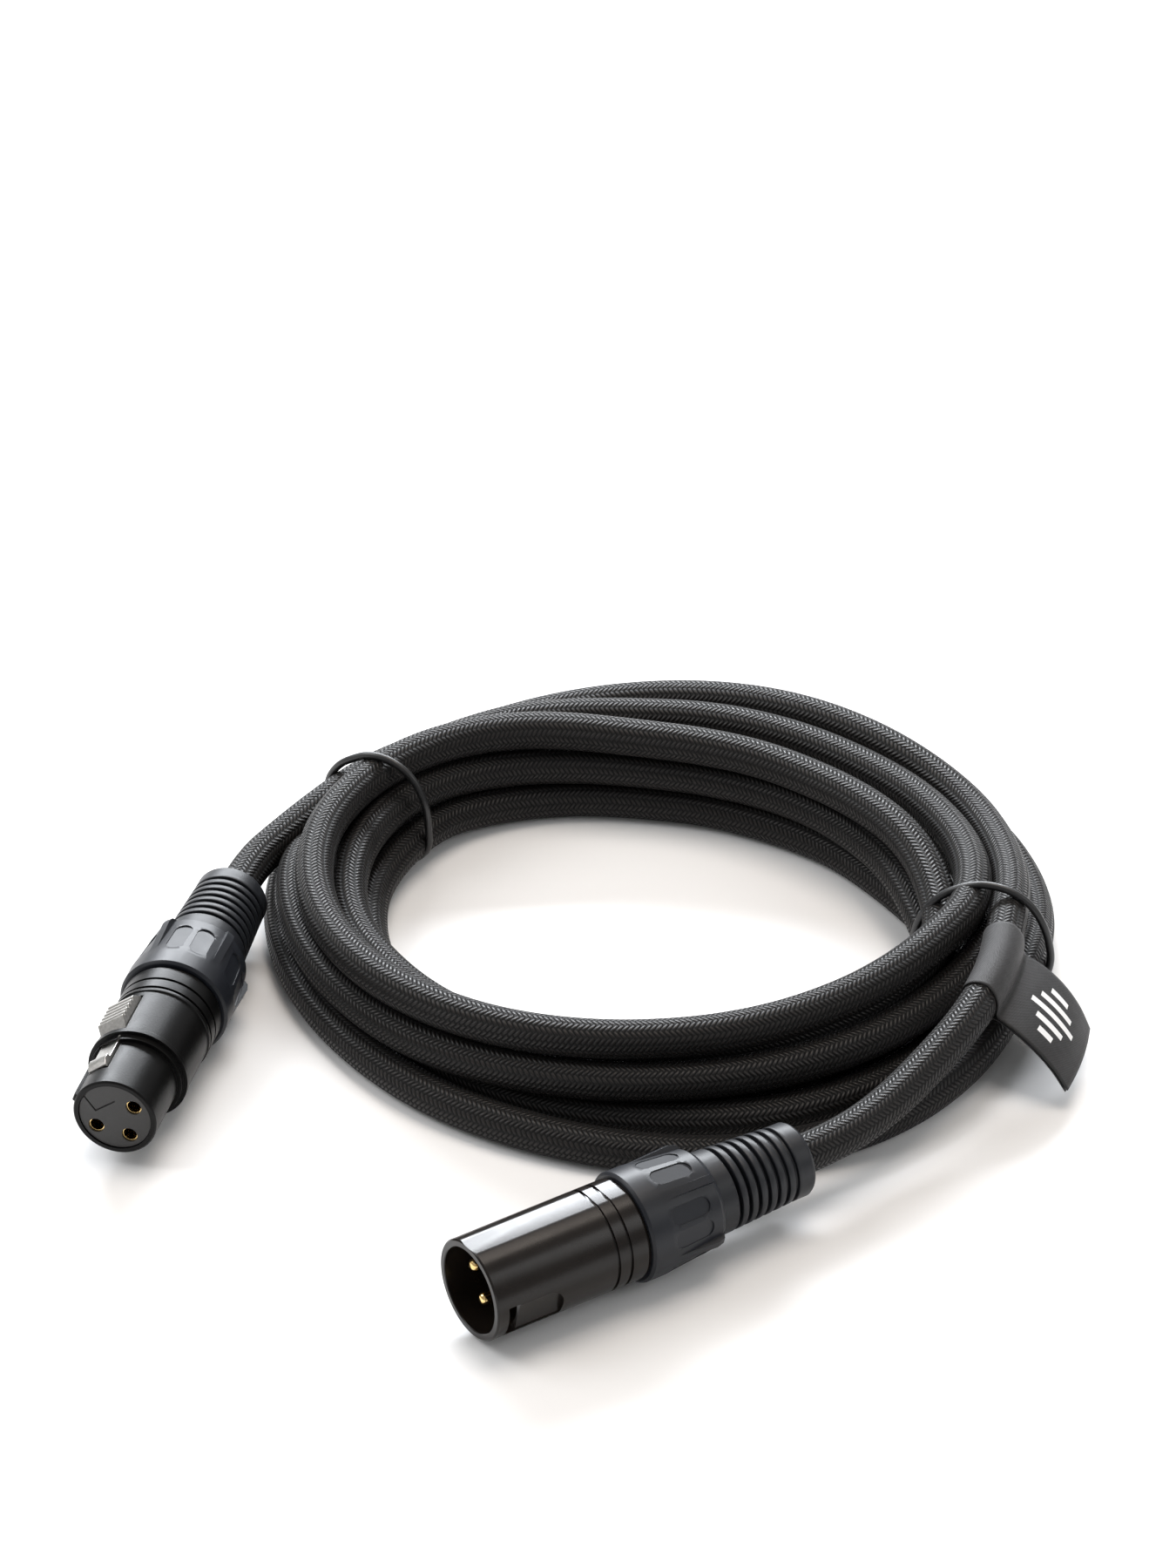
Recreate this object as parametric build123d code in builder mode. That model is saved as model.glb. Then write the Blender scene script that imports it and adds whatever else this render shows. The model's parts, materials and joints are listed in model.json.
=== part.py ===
"""Coiled microphone cable with a three-pin plug and a three-pin socket.

Units are millimetres. The origin is the centre of the coil on the surface that it lies
on, +Z is up, and +X points to the side of the coil that the label hangs from.
"""

from build123d import *
from math import cos, pi, radians, sin, tan
import os

# ---------------------------------------------------------------- driving dimensions
# Cable and coil. The outer side is steep where the turns lie on the surface and leans
# in above it, where fewer turns are piled up.
cable_r = 3.65
coil_outer_r = 75.4
coil_outer_centre = (1.0, -1.5)
coil_shoulder_r = 71.6
coil_shoulder_z = 9.0
coil_crown_r = 62.0
coil_eye_radii = (51.5, 44.0)
coil_eye_centre = (-2.5, -8.0)
coil_height = 21.5
coil_eye_fillet = 6.0

# Where the two connectors lie: centre of the back nut's front edge, the direction from
# the mouth to the cable, and the angle of the latch side above the horizontal
connector_axis_z = 10.6
plug_nut_at = (-7.2, -104.8)
plug_azimuth = 33.4
plug_latch_angle = -16.0
socket_nut_at = (-89.8, -38.7)
socket_azimuth = 75.3
socket_latch_angle = 126.0
nut_turns = {"plug": 0.0, "socket": -5.6}

# Distances along a connector count from the back nut's front edge, towards the cable
running_gap = 0.05
shell_r = 9.5
shell_bore_r = 8.3
thread_r = 9.15
thread_end = 5.5
groove_width = 0.6
groove_depth = 0.45
groove_starts = (-7.1, -4.4)

# Back nut
nut_r = 10.4
nut_rear_r = 9.4
nut_length = 16.3
nut_edge_r = 8.6
nut_rib_r = 10.6
nut_rib_count = 5
nut_rib_width = 1.5
nut_panel_recess_angles = (23.0, 49.0)
nut_recess_size = (8.4, 3.4)
nut_recess_depth = 0.3

# Kink protection boot
boot_end = 37.4
boot_band_r = 7.9
boot_band_end = 19.8
boot_end_r = 7.0
boot_groove_r = 6.3
boot_groove_width = 0.8
boot_groove_pitch = 2.1
boot_groove_count = 7
boot_first_groove = 20.0
boot_neck_r = 6.05
boot_flange_r = 7.0
boot_flange_start = 12.3
boot_flange_end = 14.15

# Clamping chuck
chuck_start = -1.0
chuck_end = 12.0
chuck_r = 8.2
chuck_nose_r = 6.0
chuck_slit_width = 1.0
chuck_slit_count = 4

# Contacts: three on a circle, the third one opposite the latch side
contact_circle_r = 4.475
contact_angles = {"1": 90.0, "2": -90.0, "3": 180.0}
pin_r = 1.2
pin_shoulder_r = 1.4
pin_tip = -29.0
pin_dome = 0.9
contact_bore_r = 1.25
contact_sleeve_r = 1.9
contact_bore_depth = 14.0
insert_rear = -7.5
cup_end = -6.0
cup_r = 1.5
cup_bore_r = 0.75
cup_bore_depth = 1.0

# Wires
wire_r = 0.7
wire_spread_r = 1.8
wire_bend_r = 1.5

# Plug shell and insert
plug_mouth = -32.0
plug_bore_r = 8.1
plug_insert_face = -15.5
latch_window = (-29.7, -27.3)
latch_window_width = 7.4
latch_ramp_end = -18.3
latch_ramp_depth = 0.9
latch_ramp_corner_r = 3.2
plug_facet_angle = 109.0
plug_facet_depth = 0.3

# Socket shell and insert
socket_face = -34.8
nose_r = 7.9
nose_bore_r = 6.85
step_r = 8.7
lip_r = 9.5
body_r = 9.25
step_start = -22.3
lip_start = -21.1
lip_end = -20.0
insert_flange_start = -12.0
insert_recess = 0.3
key_seam_at = (2.5, 2.75)
key_seam_reach = (-1.9, 6.1)
key_seam_width = 0.3
key_seam_depth = 0.35
key_rib_angle = 34.0
key_rib_width = 1.6
key_rib_height = 0.5

# Latch lever of the socket, in the plane through the axis and the latch side
lever_bottom = 7.2
lever_top = 8.1
lever_front = -29.6
lever_rear = -8.6
lever_width = 4.2
hook_top = 8.8
thumb_start = -19.2
thumb_end = -9.5
thumb_top = 10.4
thumb_width = 6.0
thumb_flat_end = 7.9
thumb_groove_count = 5
thumb_groove_pitch = 1.2
thumb_groove_width = 0.9
thumb_groove_depth = 0.5
lever_pivot = (-9.0, 7.0)
lever_pivot_r = 0.8
lever_slot_gap = 0.3
lever_pocket_floor = 5.4
lever_bridge_r = 8.45
latch_spring_width = 2.4
latch_spring_thickness = 0.25

# Elastic ties
tie_wire_r = 1.0
tie_ring_r = 12.35
tie_places = {"right": (-16.0, 63.2), "left": (154.0, 62.3)}

# Label: a folded strip round the plug's lead, with its flag hanging outwards
label_upper = Vector(64.8, -27.8, 18.4)
label_lower = Vector(59.7, -44.6, 17.2)
label_wall = 0.45
label_flag_drop = 13.5
label_flag_reach = 17.0
label_flag_thickness = 0.8

# Routes of the two uncoiled leads, from the boot's end into the coil
plug_lead_route = [
    (24.02, -84.21, 10.6),
    (31.8, -79.0, 10.6),
    (41.0, -70.0, 11.6),
    (49.6, -59.4, 14.0),
    (57.0, -49.2, 16.6),
    (62.6, -36.0, 18.0),
    (66.0, -21.6, 18.6),
]
socket_lead_route = [
    (-80.31, -2.52, 10.6),
    (-77.65, 7.62, 10.6),
    (-71.9, 16.9, 11.6),
    (-65.1, 25.0, 13.3),
    (-58.0, 32.0, 14.6),
    (-50.3, 38.4, 14.8),
]

os.makedirs("parts", exist_ok=True)


# ---------------------------------------------------------------- frames and helpers
def connector_frame(nut_at, azimuth, latch_angle):
    """Plane with x along the connector towards the cable and z at the latch side."""
    along = Vector(cos(radians(azimuth)), sin(radians(azimuth)), 0)
    right = Vector(sin(radians(azimuth)), -cos(radians(azimuth)), 0)
    latch = right * cos(radians(latch_angle)) + Vector(0, 0, 1) * sin(radians(latch_angle))
    return Plane(origin=(*nut_at, connector_axis_z), x_dir=along, z_dir=latch)


def side_plane(frame, angle=0.0):
    """Plane through the connector's axis: x along it, y outwards, angle from the latch."""
    outwards = frame.z_dir * cos(radians(angle)) + frame.y_dir * sin(radians(angle))
    return Plane(origin=frame.origin, x_dir=frame.x_dir, z_dir=frame.x_dir.cross(outwards))


def cross_plane(frame, distance):
    """Plane square to the axis: y at the latch side, normal towards the cable."""
    origin = frame.origin + frame.x_dir * distance
    return Plane(origin=origin, x_dir=frame.y_dir, z_dir=frame.x_dir)


def on_circle(angle, radius=contact_circle_r):
    """Point in a cross plane, at an angle from the latch side towards the frame's y."""
    return (radius * sin(radians(angle)), radius * cos(radians(angle)))


def turning_axis(frame):
    return Axis(frame.origin, frame.x_dir)


def outline(plane, *corners):
    """Face in the given plane from the corners of a closed outline."""
    with BuildSketch(plane) as face:
        with BuildLine():
            Polyline(*corners, close=True)
        make_face()
    return face.sketch


def finish(piece, name):
    """Labels a piece and writes its file."""
    piece.part.label = name
    export_step(piece.part, f"parts/{name}.step")


# ---------------------------------------------------------------- pieces of both connectors
def make_back_nut(frame, turned, name):
    """Ribbed screw nut: a tapered ring with five panels, two shallow recesses in each.

    turned is the angle of its first rib from the latch side.
    """
    slope = (nut_r - nut_rear_r) / (nut_length - 5.0)
    with BuildPart() as nut:
        wall = outline(
            side_plane(frame),
            (0, thread_r + running_gap),
            (0, nut_r - 0.5),
            (0.5, nut_r),
            (4.0, nut_r),
            (nut_length - 1.0, nut_rear_r),
            (nut_length, nut_edge_r),
            (nut_length, boot_neck_r + running_gap),
            (boot_flange_end + running_gap, boot_neck_r + running_gap),
            (boot_flange_end + running_gap, boot_flange_r + running_gap),
            (12.2, boot_flange_r + running_gap),
            (12.2, chuck_nose_r + 0.3),
            (6.0, chuck_r + 0.3),
            (6.0, thread_r + running_gap),
        )
        revolve(wall, axis=turning_axis(frame))
        for number in range(nut_rib_count):
            rib = outline(
                side_plane(frame, turned + number * 360 / nut_rib_count),
                (5.0, nut_rear_r),
                (5.0, nut_r - 0.2),
                (nut_length - 2.6, nut_rib_r),
                (nut_length - 1.1, nut_rib_r - 0.4),
                (nut_length - 0.3, nut_edge_r + 0.2),
                (nut_length - 0.3, nut_edge_r - 0.6),
            )
            extrude(rib, amount=nut_rib_width / 2, both=True)
        for number in range(nut_rib_count):
            for offset_angle in nut_panel_recess_angles:
                turn = turned + number * 360 / nut_rib_count + offset_angle
                side = side_plane(frame, turn)
                floor_r = nut_r - slope * 5.0 - nut_recess_depth
                outwards = side.y_dir + side.x_dir * slope
                middle = side.origin + side.x_dir * 9.0 + side.y_dir * floor_r
                with BuildSketch(Plane(origin=middle, x_dir=side.z_dir, z_dir=outwards)):
                    SlotOverall(*nut_recess_size, rotation=90)
                extrude(amount=2, mode=Mode.SUBTRACT)
    finish(nut, name)


def make_boot(frame, name):
    """Flexible boot: flange held in the nut, plain band, ribs and a plain end ring."""
    ribbed_length = boot_groove_pitch * boot_groove_count
    with BuildPart() as boot:
        sleeve = outline(
            side_plane(frame),
            (boot_flange_start, cable_r + 2 * running_gap),
            (boot_flange_start, boot_flange_r),
            (boot_flange_end, boot_flange_r),
            (boot_flange_end, boot_neck_r),
            (nut_length + running_gap, boot_neck_r),
            (nut_length + running_gap, boot_band_r),
            (boot_band_end, boot_band_r - 0.1),
            (boot_first_groove + ribbed_length, boot_end_r),
            (boot_end - 1.0, boot_end_r),
            (boot_end - 0.3, boot_end_r - 0.4),
            (boot_end, boot_end_r - 1.0),
            (boot_end, cable_r + 2 * running_gap),
        )
        revolve(sleeve, axis=turning_axis(frame))
        for number in range(boot_groove_count):
            start = boot_first_groove + number * boot_groove_pitch
            groove = outline(
                side_plane(frame),
                (start, boot_groove_r),
                (start, boot_band_r + 1),
                (start + boot_groove_width, boot_band_r + 1),
                (start + boot_groove_width, boot_groove_r),
            )
            revolve(groove, axis=turning_axis(frame), mode=Mode.SUBTRACT)
    finish(boot, name)


def make_chuck(frame, name):
    """Slit collet that the nut squeezes onto the cable."""
    with BuildPart() as chuck:
        body = outline(
            side_plane(frame),
            (chuck_start, cable_r + running_gap),
            (chuck_start, chuck_r),
            (thread_end, chuck_r),
            (chuck_end, chuck_nose_r),
            (chuck_end, cable_r + running_gap),
        )
        revolve(body, axis=turning_axis(frame))
        with BuildSketch(cross_plane(frame, chuck_end)):
            with PolarLocations(cable_r + chuck_r / 2, chuck_slit_count):
                Rectangle(chuck_r, chuck_slit_width)
        extrude(amount=-8, mode=Mode.SUBTRACT)
    finish(chuck, name)


def make_cable_end(frame, name):
    """Jacketed end of the cable inside the chuck and the boot."""
    with BuildPart() as end:
        with BuildSketch(cross_plane(frame, 0)):
            Circle(cable_r)
        extrude(amount=boot_end)
    finish(end, name)


def make_wire(frame, angle, name):
    """Stripped conductor from the jacket's end to its contact's solder cup."""
    with BuildPart() as wire:
        with BuildLine(side_plane(frame, angle)) as route:
            FilletPolyline(
                (0, wire_spread_r),
                (-1.2, wire_spread_r),
                (-4.6, contact_circle_r),
                (cup_end - cup_bore_depth, contact_circle_r),
                radius=wire_bend_r,
            )
        start = route.line @ 0
        with BuildSketch(Plane(origin=start, z_dir=route.line % 0)):
            Circle(wire_r)
        sweep(path=route.line)
    finish(wire, name)


# ---------------------------------------------------------------- plug
def make_plug_shell(frame):
    """Turned shell: deep mouth, latch window and ramp, two grooves and a rear thread."""
    with BuildPart() as shell:
        wall = outline(
            side_plane(frame),
            (plug_mouth, plug_bore_r + 0.15),
            (plug_mouth, shell_r - 0.3),
            (plug_mouth + 0.3, shell_r),
            (-0.6, shell_r),
            (-0.6, thread_r),
            (thread_end - 0.4, thread_r),
            (thread_end, thread_r - 0.4),
            (thread_end, shell_bore_r),
            (plug_insert_face, shell_bore_r),
            (plug_insert_face, plug_bore_r),
            (plug_mouth + 0.15, plug_bore_r),
        )
        revolve(wall, axis=turning_axis(frame))
        for start in groove_starts:
            groove = outline(
                side_plane(frame),
                (start, shell_r - groove_depth),
                (start, shell_r + 1),
                (start + groove_width, shell_r + 1),
                (start + groove_width, shell_r - groove_depth),
            )
            revolve(groove, axis=turning_axis(frame), mode=Mode.SUBTRACT)
        outer_plane = Plane(
            origin=frame.origin + frame.z_dir * (shell_r + 1),
            x_dir=frame.x_dir,
            z_dir=frame.z_dir,
        )
        window_length = latch_window[1] - latch_window[0]
        with BuildSketch(outer_plane):
            with Locations(((latch_window[0] + latch_window[1]) / 2, 0)):
                Rectangle(window_length, latch_window_width)
        extrude(amount=-6, mode=Mode.SUBTRACT)
        ramp_plane = outer_plane.offset(-1 - latch_ramp_depth)
        ramp_length = latch_ramp_end - latch_window[1]
        with BuildSketch(ramp_plane):
            with Locations((latch_window[1] + ramp_length / 2, 0)):
                Rectangle(ramp_length, latch_window_width - 0.4)
            fillet(vertices().group_by(Axis(frame.origin, frame.x_dir))[-1], latch_ramp_corner_r)
        extrude(amount=2, mode=Mode.SUBTRACT)
        facet = outline(
            side_plane(frame, plug_facet_angle),
            (plug_mouth - 1, shell_r - plug_facet_depth),
            (plug_mouth - 1, shell_r + 1),
            (-0.6, shell_r + 1),
            (-0.6, shell_r - plug_facet_depth),
        )
        extrude(facet, amount=shell_r, both=True, mode=Mode.SUBTRACT)
    finish(shell, "plug_shell")


def make_plug_insert(frame):
    """Insulating disc that carries the three pins."""
    with BuildPart() as insert:
        with BuildSketch(cross_plane(frame, plug_insert_face)):
            Circle(shell_bore_r - running_gap)
            for angle in contact_angles.values():
                with Locations(on_circle(angle)):
                    Circle(pin_shoulder_r + running_gap, mode=Mode.SUBTRACT)
        extrude(amount=insert_rear - plug_insert_face)
    finish(insert, "plug_insert")


def contact_axis_plane(frame, angle):
    """Side plane whose x axis is the contact's own axis."""
    side = side_plane(frame, angle)
    return Plane(
        origin=frame.origin + side.y_dir * contact_circle_r,
        x_dir=side.x_dir,
        z_dir=side.z_dir,
    )


def make_pin(frame, number, angle):
    """Solid pin with a domed tip and a solder cup at the rear."""
    plane = contact_axis_plane(frame, angle)
    with BuildPart() as pin:
        with BuildSketch(plane):
            with BuildLine():
                Line((pin_tip, 0), (pin_tip, pin_r - pin_dome))
                RadiusArc((pin_tip, pin_r - pin_dome), (pin_tip + pin_dome, pin_r), pin_dome + 0.05)
                Polyline(
                    (pin_tip + pin_dome, pin_r),
                    (plug_insert_face, pin_r),
                    (plug_insert_face, pin_shoulder_r),
                    (insert_rear, pin_shoulder_r),
                    (insert_rear, cup_r),
                    (cup_end, cup_r),
                    (cup_end, cup_bore_r),
                    (cup_end - cup_bore_depth, cup_bore_r),
                    (cup_end - cup_bore_depth, 0),
                    (pin_tip, 0),
                )
            make_face()
        revolve(axis=Axis(plane.origin, plane.x_dir))
    finish(pin, f"plug_pin_{number}")


# ---------------------------------------------------------------- socket
def make_socket_shell(frame):
    """Turned shell: slim nose, lip over the lever, body, grooves and a rear thread."""
    slot_width = lever_width + 2 * lever_slot_gap
    thumb_slot_width = thumb_width + 2 * lever_slot_gap
    with BuildPart() as shell:
        wall = outline(
            side_plane(frame),
            (socket_face, nose_bore_r),
            (socket_face, nose_r - 0.3),
            (socket_face + 0.3, nose_r),
            (step_start, nose_r),
            (step_start, step_r),
            (lip_start, step_r),
            (lip_start, lip_r),
            (lip_end, lip_r),
            (lip_end, body_r),
            (-8.0, body_r),
            (-7.9, shell_r),
            (-0.6, shell_r),
            (-0.6, thread_r),
            (thread_end - 0.4, thread_r),
            (thread_end, thread_r - 0.4),
            (thread_end, shell_bore_r),
            (insert_flange_start, shell_bore_r),
            (insert_flange_start, nose_bore_r),
        )
        revolve(wall, axis=turning_axis(frame))
        for start in groove_starts:
            groove = outline(
                side_plane(frame),
                (start, shell_r - groove_depth),
                (start, shell_r + 1),
                (start + groove_width, shell_r + 1),
                (start + groove_width, shell_r - groove_depth),
            )
            revolve(groove, axis=turning_axis(frame), mode=Mode.SUBTRACT)
        tongue_slot = outline(
            side_plane(frame),
            (lever_front - 0.5, lever_pocket_floor),
            (lever_front - 0.5, lip_r + 2),
            (step_start, lip_r + 2),
            (step_start, lever_bridge_r),
            (lip_end, lever_bridge_r),
            (lip_end, lever_pocket_floor),
        )
        extrude(tongue_slot, amount=slot_width / 2, both=True, mode=Mode.SUBTRACT)
        thumb_slot = outline(
            side_plane(frame),
            (lip_end, lever_pocket_floor),
            (lip_end, lip_r + 2),
            (thumb_end + lever_slot_gap, lip_r + 2),
            (thumb_end + lever_slot_gap, lever_bridge_r),
            (insert_flange_start + 3.5, lever_bridge_r),
            (insert_flange_start + 3.5, shell_bore_r - 1.0),
            (insert_flange_start, shell_bore_r - 1.0),
            (insert_flange_start, lever_pocket_floor),
        )
        extrude(thumb_slot, amount=thumb_slot_width / 2, both=True, mode=Mode.SUBTRACT)
        rib = outline(
            side_plane(frame, key_rib_angle),
            (socket_face + 0.5, nose_r - 0.5),
            (socket_face + 0.5, nose_r + key_rib_height - 0.2),
            (socket_face + 0.8, nose_r + key_rib_height),
            (step_start, nose_r + key_rib_height),
            (step_start, nose_r - 0.5),
        )
        extrude(rib, amount=key_rib_width / 2, both=True)
    finish(shell, "socket_shell")


def make_socket_insert(frame):
    """Insulating core with three contact holes and a pocket under the lever."""
    front = socket_face + insert_recess
    lip = 0.4
    with BuildPart() as insert:
        body = outline(
            side_plane(frame),
            (front, 0),
            (front, nose_bore_r - running_gap),
            (insert_flange_start, nose_bore_r - running_gap),
            (insert_flange_start, shell_bore_r - running_gap),
            (insert_rear, shell_bore_r - running_gap),
            (insert_rear, 0),
        )
        revolve(body, axis=turning_axis(frame))
        pocket = outline(
            side_plane(frame),
            (lever_front - 1.0, lever_pocket_floor),
            (lever_front - 1.0, shell_r),
            (insert_rear + 1, shell_r),
            (insert_rear + 1, lever_pivot[1] - lever_pivot_r - running_gap),
            (lever_pivot[0] - 1.6, lever_pivot[1] - lever_pivot_r - running_gap),
            (lever_pivot[0] - 1.6, lever_pocket_floor),
        )
        extrude(pocket, amount=thumb_width / 2 + lever_slot_gap, both=True, mode=Mode.SUBTRACT)
        for angle in contact_angles.values():
            with BuildSketch(cross_plane(frame, front)):
                with Locations(on_circle(angle)):
                    Circle(contact_bore_r + 0.2)
            extrude(amount=lip, mode=Mode.SUBTRACT)
            with BuildSketch(cross_plane(frame, front + lip)):
                with Locations(on_circle(angle)):
                    Circle(contact_sleeve_r + running_gap)
            extrude(amount=insert_rear - front - lip, mode=Mode.SUBTRACT)
        with BuildSketch(cross_plane(frame, front)):
            with Locations((key_seam_at[0], (key_seam_at[1] + key_seam_reach[1]) / 2)):
                Rectangle(key_seam_width, key_seam_reach[1] - key_seam_at[1])
            with Locations(((key_seam_at[0] + key_seam_reach[0]) / 2, key_seam_at[1])):
                Rectangle(key_seam_at[0] - key_seam_reach[0] + key_seam_width, key_seam_width)
        extrude(amount=key_seam_depth, mode=Mode.SUBTRACT)
    finish(insert, "socket_insert")


def make_socket_contact(frame, number, angle):
    """Bored contact with a solder cup at the rear."""
    plane = contact_axis_plane(frame, angle)
    front = socket_face + insert_recess + 0.4
    with BuildPart() as contact:
        with BuildSketch(plane):
            with BuildLine():
                Polyline(
                    (front, contact_bore_r),
                    (front, contact_sleeve_r),
                    (insert_rear, contact_sleeve_r),
                    (insert_rear, cup_r),
                    (cup_end, cup_r),
                    (cup_end, cup_bore_r),
                    (cup_end - cup_bore_depth, cup_bore_r),
                    (cup_end - cup_bore_depth, 0),
                    (front + contact_bore_depth, 0),
                    (front + contact_bore_depth, contact_bore_r),
                    close=True,
                )
            make_face()
        revolve(axis=Axis(plane.origin, plane.x_dir))
    finish(contact, f"socket_contact_{number}")


def make_latch_lever(frame):
    """Sprung lever: hooked tongue, ridged thumb piece and a pivot barrel."""
    with BuildPart() as lever:
        tongue = outline(
            side_plane(frame),
            (lever_front, lever_bottom),
            (lever_front, lever_top),
            (lever_front + 1.2, hook_top),
            (lever_front + 2.4, hook_top),
            (lever_front + 2.6, lever_top),
            (lever_rear, lever_top),
            (lever_rear, lever_bottom),
        )
        extrude(tongue, amount=lever_width / 2, both=True)
        thumb = outline(
            side_plane(frame),
            (thumb_start, lever_bottom),
            (thumb_start, lever_top + 0.4),
            (thumb_start + 1.6, thumb_top),
            (thumb_start + thumb_flat_end, thumb_top),
            (thumb_end, lever_top + 0.8),
            (thumb_end, lever_bottom),
        )
        extrude(thumb, amount=thumb_width / 2, both=True)
        for number in range(thumb_groove_count):
            groove_at = thumb_start + 2.2 + number * thumb_groove_pitch
            groove = outline(
                side_plane(frame),
                (groove_at - thumb_groove_width / 2, thumb_top + 0.1),
                (groove_at, thumb_top - thumb_groove_depth),
                (groove_at + thumb_groove_width / 2, thumb_top + 0.1),
            )
            extrude(groove, amount=thumb_width, both=True, mode=Mode.SUBTRACT)
        with BuildSketch(side_plane(frame)):
            with Locations(lever_pivot):
                Circle(lever_pivot_r)
        extrude(amount=lever_width / 2, both=True)
    finish(lever, "latch_lever")


def make_latch_spring(frame):
    """Bent leaf between the insert's pocket and the lever."""
    floor = lever_pocket_floor
    top = lever_bottom - running_gap
    thick = latch_spring_thickness
    with BuildPart() as spring:
        leaf = outline(
            side_plane(frame),
            (-18.0, floor),
            (-15.4, floor),
            (-12.4, top - thick),
            (-11.4, top - thick),
            (-11.4, top),
            (-12.6, top),
            (-15.6, floor + thick),
            (-18.0, floor + thick),
        )
        extrude(leaf, amount=latch_spring_width / 2, both=True)
    finish(spring, "latch_spring")


# ---------------------------------------------------------------- cable, ties and label
def bend_radii(route):
    """Largest even radius for each corner: 0.45 of the shorter run over tan(half turn)."""
    points = [Vector(*point) for point in route]
    radii = []
    for before, corner, after in zip(points, points[1:], points[2:]):
        turn = (corner - before).get_angle(after - corner)
        shorter = min((corner - before).length, (after - corner).length)
        radii.append(0.45 * shorter / tan(radians(turn) / 2))
    return radii


def make_lead(route, name):
    """Plain round tube along straight runs joined by tangent arcs."""
    radii = bend_radii(route)
    with BuildPart() as lead:
        with BuildLine() as path:
            FilletPolyline(*route, radius=radii)
        with BuildSketch(Plane(origin=path.line @ 0, z_dir=path.line % 0)):
            Circle(cable_r)
        sweep(path=path.line)
    finish(lead, name)
    length = sum(edge.length for edge in path.edges())
    expected = pi * cable_r**2 * length
    print(name, "bend radii", [round(radius, 1) for radius in radii])
    print(name, "length", round(length, 1), "volume ratio", round(lead.part.volume / expected, 4))


def make_coil():
    """Closed outer shape of the wound turns: a low ring with an off-centre eye."""
    centre = Vector(*coil_outer_centre, 0)
    with BuildPart() as coil:
        disc = outline(
            Plane(origin=centre, x_dir=(1, 0, 0), z_dir=(0, -1, 0)),
            (0, 0),
            (coil_outer_r - 1.5, 0),
            (coil_outer_r, 1.5),
            (coil_outer_r, cable_r),
            (coil_shoulder_r, coil_shoulder_z),
            (coil_shoulder_r - 1.2, coil_height - 6.0),
            (coil_crown_r + 3.0, coil_height - 0.8),
            (coil_crown_r, coil_height),
            (0, coil_height),
        )
        revolve(disc, axis=Axis(centre, (0, 0, 1)))
        with BuildSketch():
            with Locations(coil_eye_centre):
                Ellipse(*coil_eye_radii)
        extrude(amount=coil_height, mode=Mode.SUBTRACT)
        eye_edge = coil.edges().group_by(Axis.Z)[-1].sort_by(SortBy.LENGTH)[0]
        fillet(eye_edge, coil_eye_fillet)
    finish(coil, "cable_coil")


def make_tie(name, angle, centre_r):
    """Elastic ring standing round the bundle, square to the turns."""
    outwards = Vector(cos(radians(angle)), sin(radians(angle)), 0)
    centre = outwards * centre_r + Vector(0, 0, tie_ring_r + tie_wire_r)
    section = Plane(origin=centre, x_dir=outwards, z_dir=(0, 0, 1))
    with BuildPart() as tie:
        with BuildSketch(section):
            with Locations((tie_ring_r, 0)):
                Circle(tie_wire_r)
        revolve(axis=Axis(centre, section.y_dir))
    finish(tie, f"tie_{name}")


def make_label():
    """Strip folded round the lead: a sleeve and a flag that hangs outwards."""
    along = (label_lower - label_upper).normalized()
    outwards = Vector(0, 0, 1).cross(along).normalized()
    length = (label_lower - label_upper).length
    outer_r = cable_r + label_wall
    with BuildPart() as label:
        with BuildSketch(Plane(origin=label_upper, z_dir=along)):
            Circle(outer_r)
            Circle(cable_r, mode=Mode.SUBTRACT)
        extrude(amount=length)
        flag_plane = Plane(origin=label_upper + along, x_dir=outwards, z_dir=along)
        down = 1 if flag_plane.y_dir.Z < 0 else -1
        flag = outline(
            flag_plane,
            (outer_r - 0.3, 0),
            (outer_r - 0.3 + label_flag_thickness, 0),
            (label_flag_reach, down * (label_flag_drop - label_flag_thickness)),
            (label_flag_reach - label_flag_thickness, down * (label_flag_drop - label_flag_thickness)),
        )
        extrude(flag, amount=length - 2)
    finish(label, "label")


# ---------------------------------------------------------------- assembly
plug = connector_frame(plug_nut_at, plug_azimuth, plug_latch_angle)
socket = connector_frame(socket_nut_at, socket_azimuth, socket_latch_angle)
wire_names = {"1": "shield_wire", "2": "hot_wire", "3": "cold_wire"}

make_coil()
make_lead(plug_lead_route, "plug_lead")
make_lead(socket_lead_route, "socket_lead")
for tie_name, (tie_angle, tie_centre_r) in tie_places.items():
    make_tie(tie_name, tie_angle, tie_centre_r)
make_label()

for prefix, connector in (("plug", plug), ("socket", socket)):
    make_back_nut(connector, nut_turns[prefix], f"{prefix}_back_nut")
    make_boot(connector, f"{prefix}_boot")
    make_chuck(connector, f"{prefix}_chuck")
    make_cable_end(connector, f"{prefix}_cable_end")
    for contact, contact_angle in contact_angles.items():
        make_wire(connector, contact_angle, f"{prefix}_{wire_names[contact]}")

make_plug_shell(plug)
make_plug_insert(plug)
make_socket_shell(socket)
make_socket_insert(socket)
make_latch_lever(socket)
make_latch_spring(socket)
for contact, contact_angle in contact_angles.items():
    make_pin(plug, contact, contact_angle)
    make_socket_contact(socket, contact, contact_angle)
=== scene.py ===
"""Looks of the coiled microphone cable: braided cord, elastic ties, folded label and two connectors.

Every object is in metres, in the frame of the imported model: the origin is the centre of the
coil on the surface that it lies on, +Z is up and +X points to the side of the label.
"""

import json
from math import cos, pi, radians, sin

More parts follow.
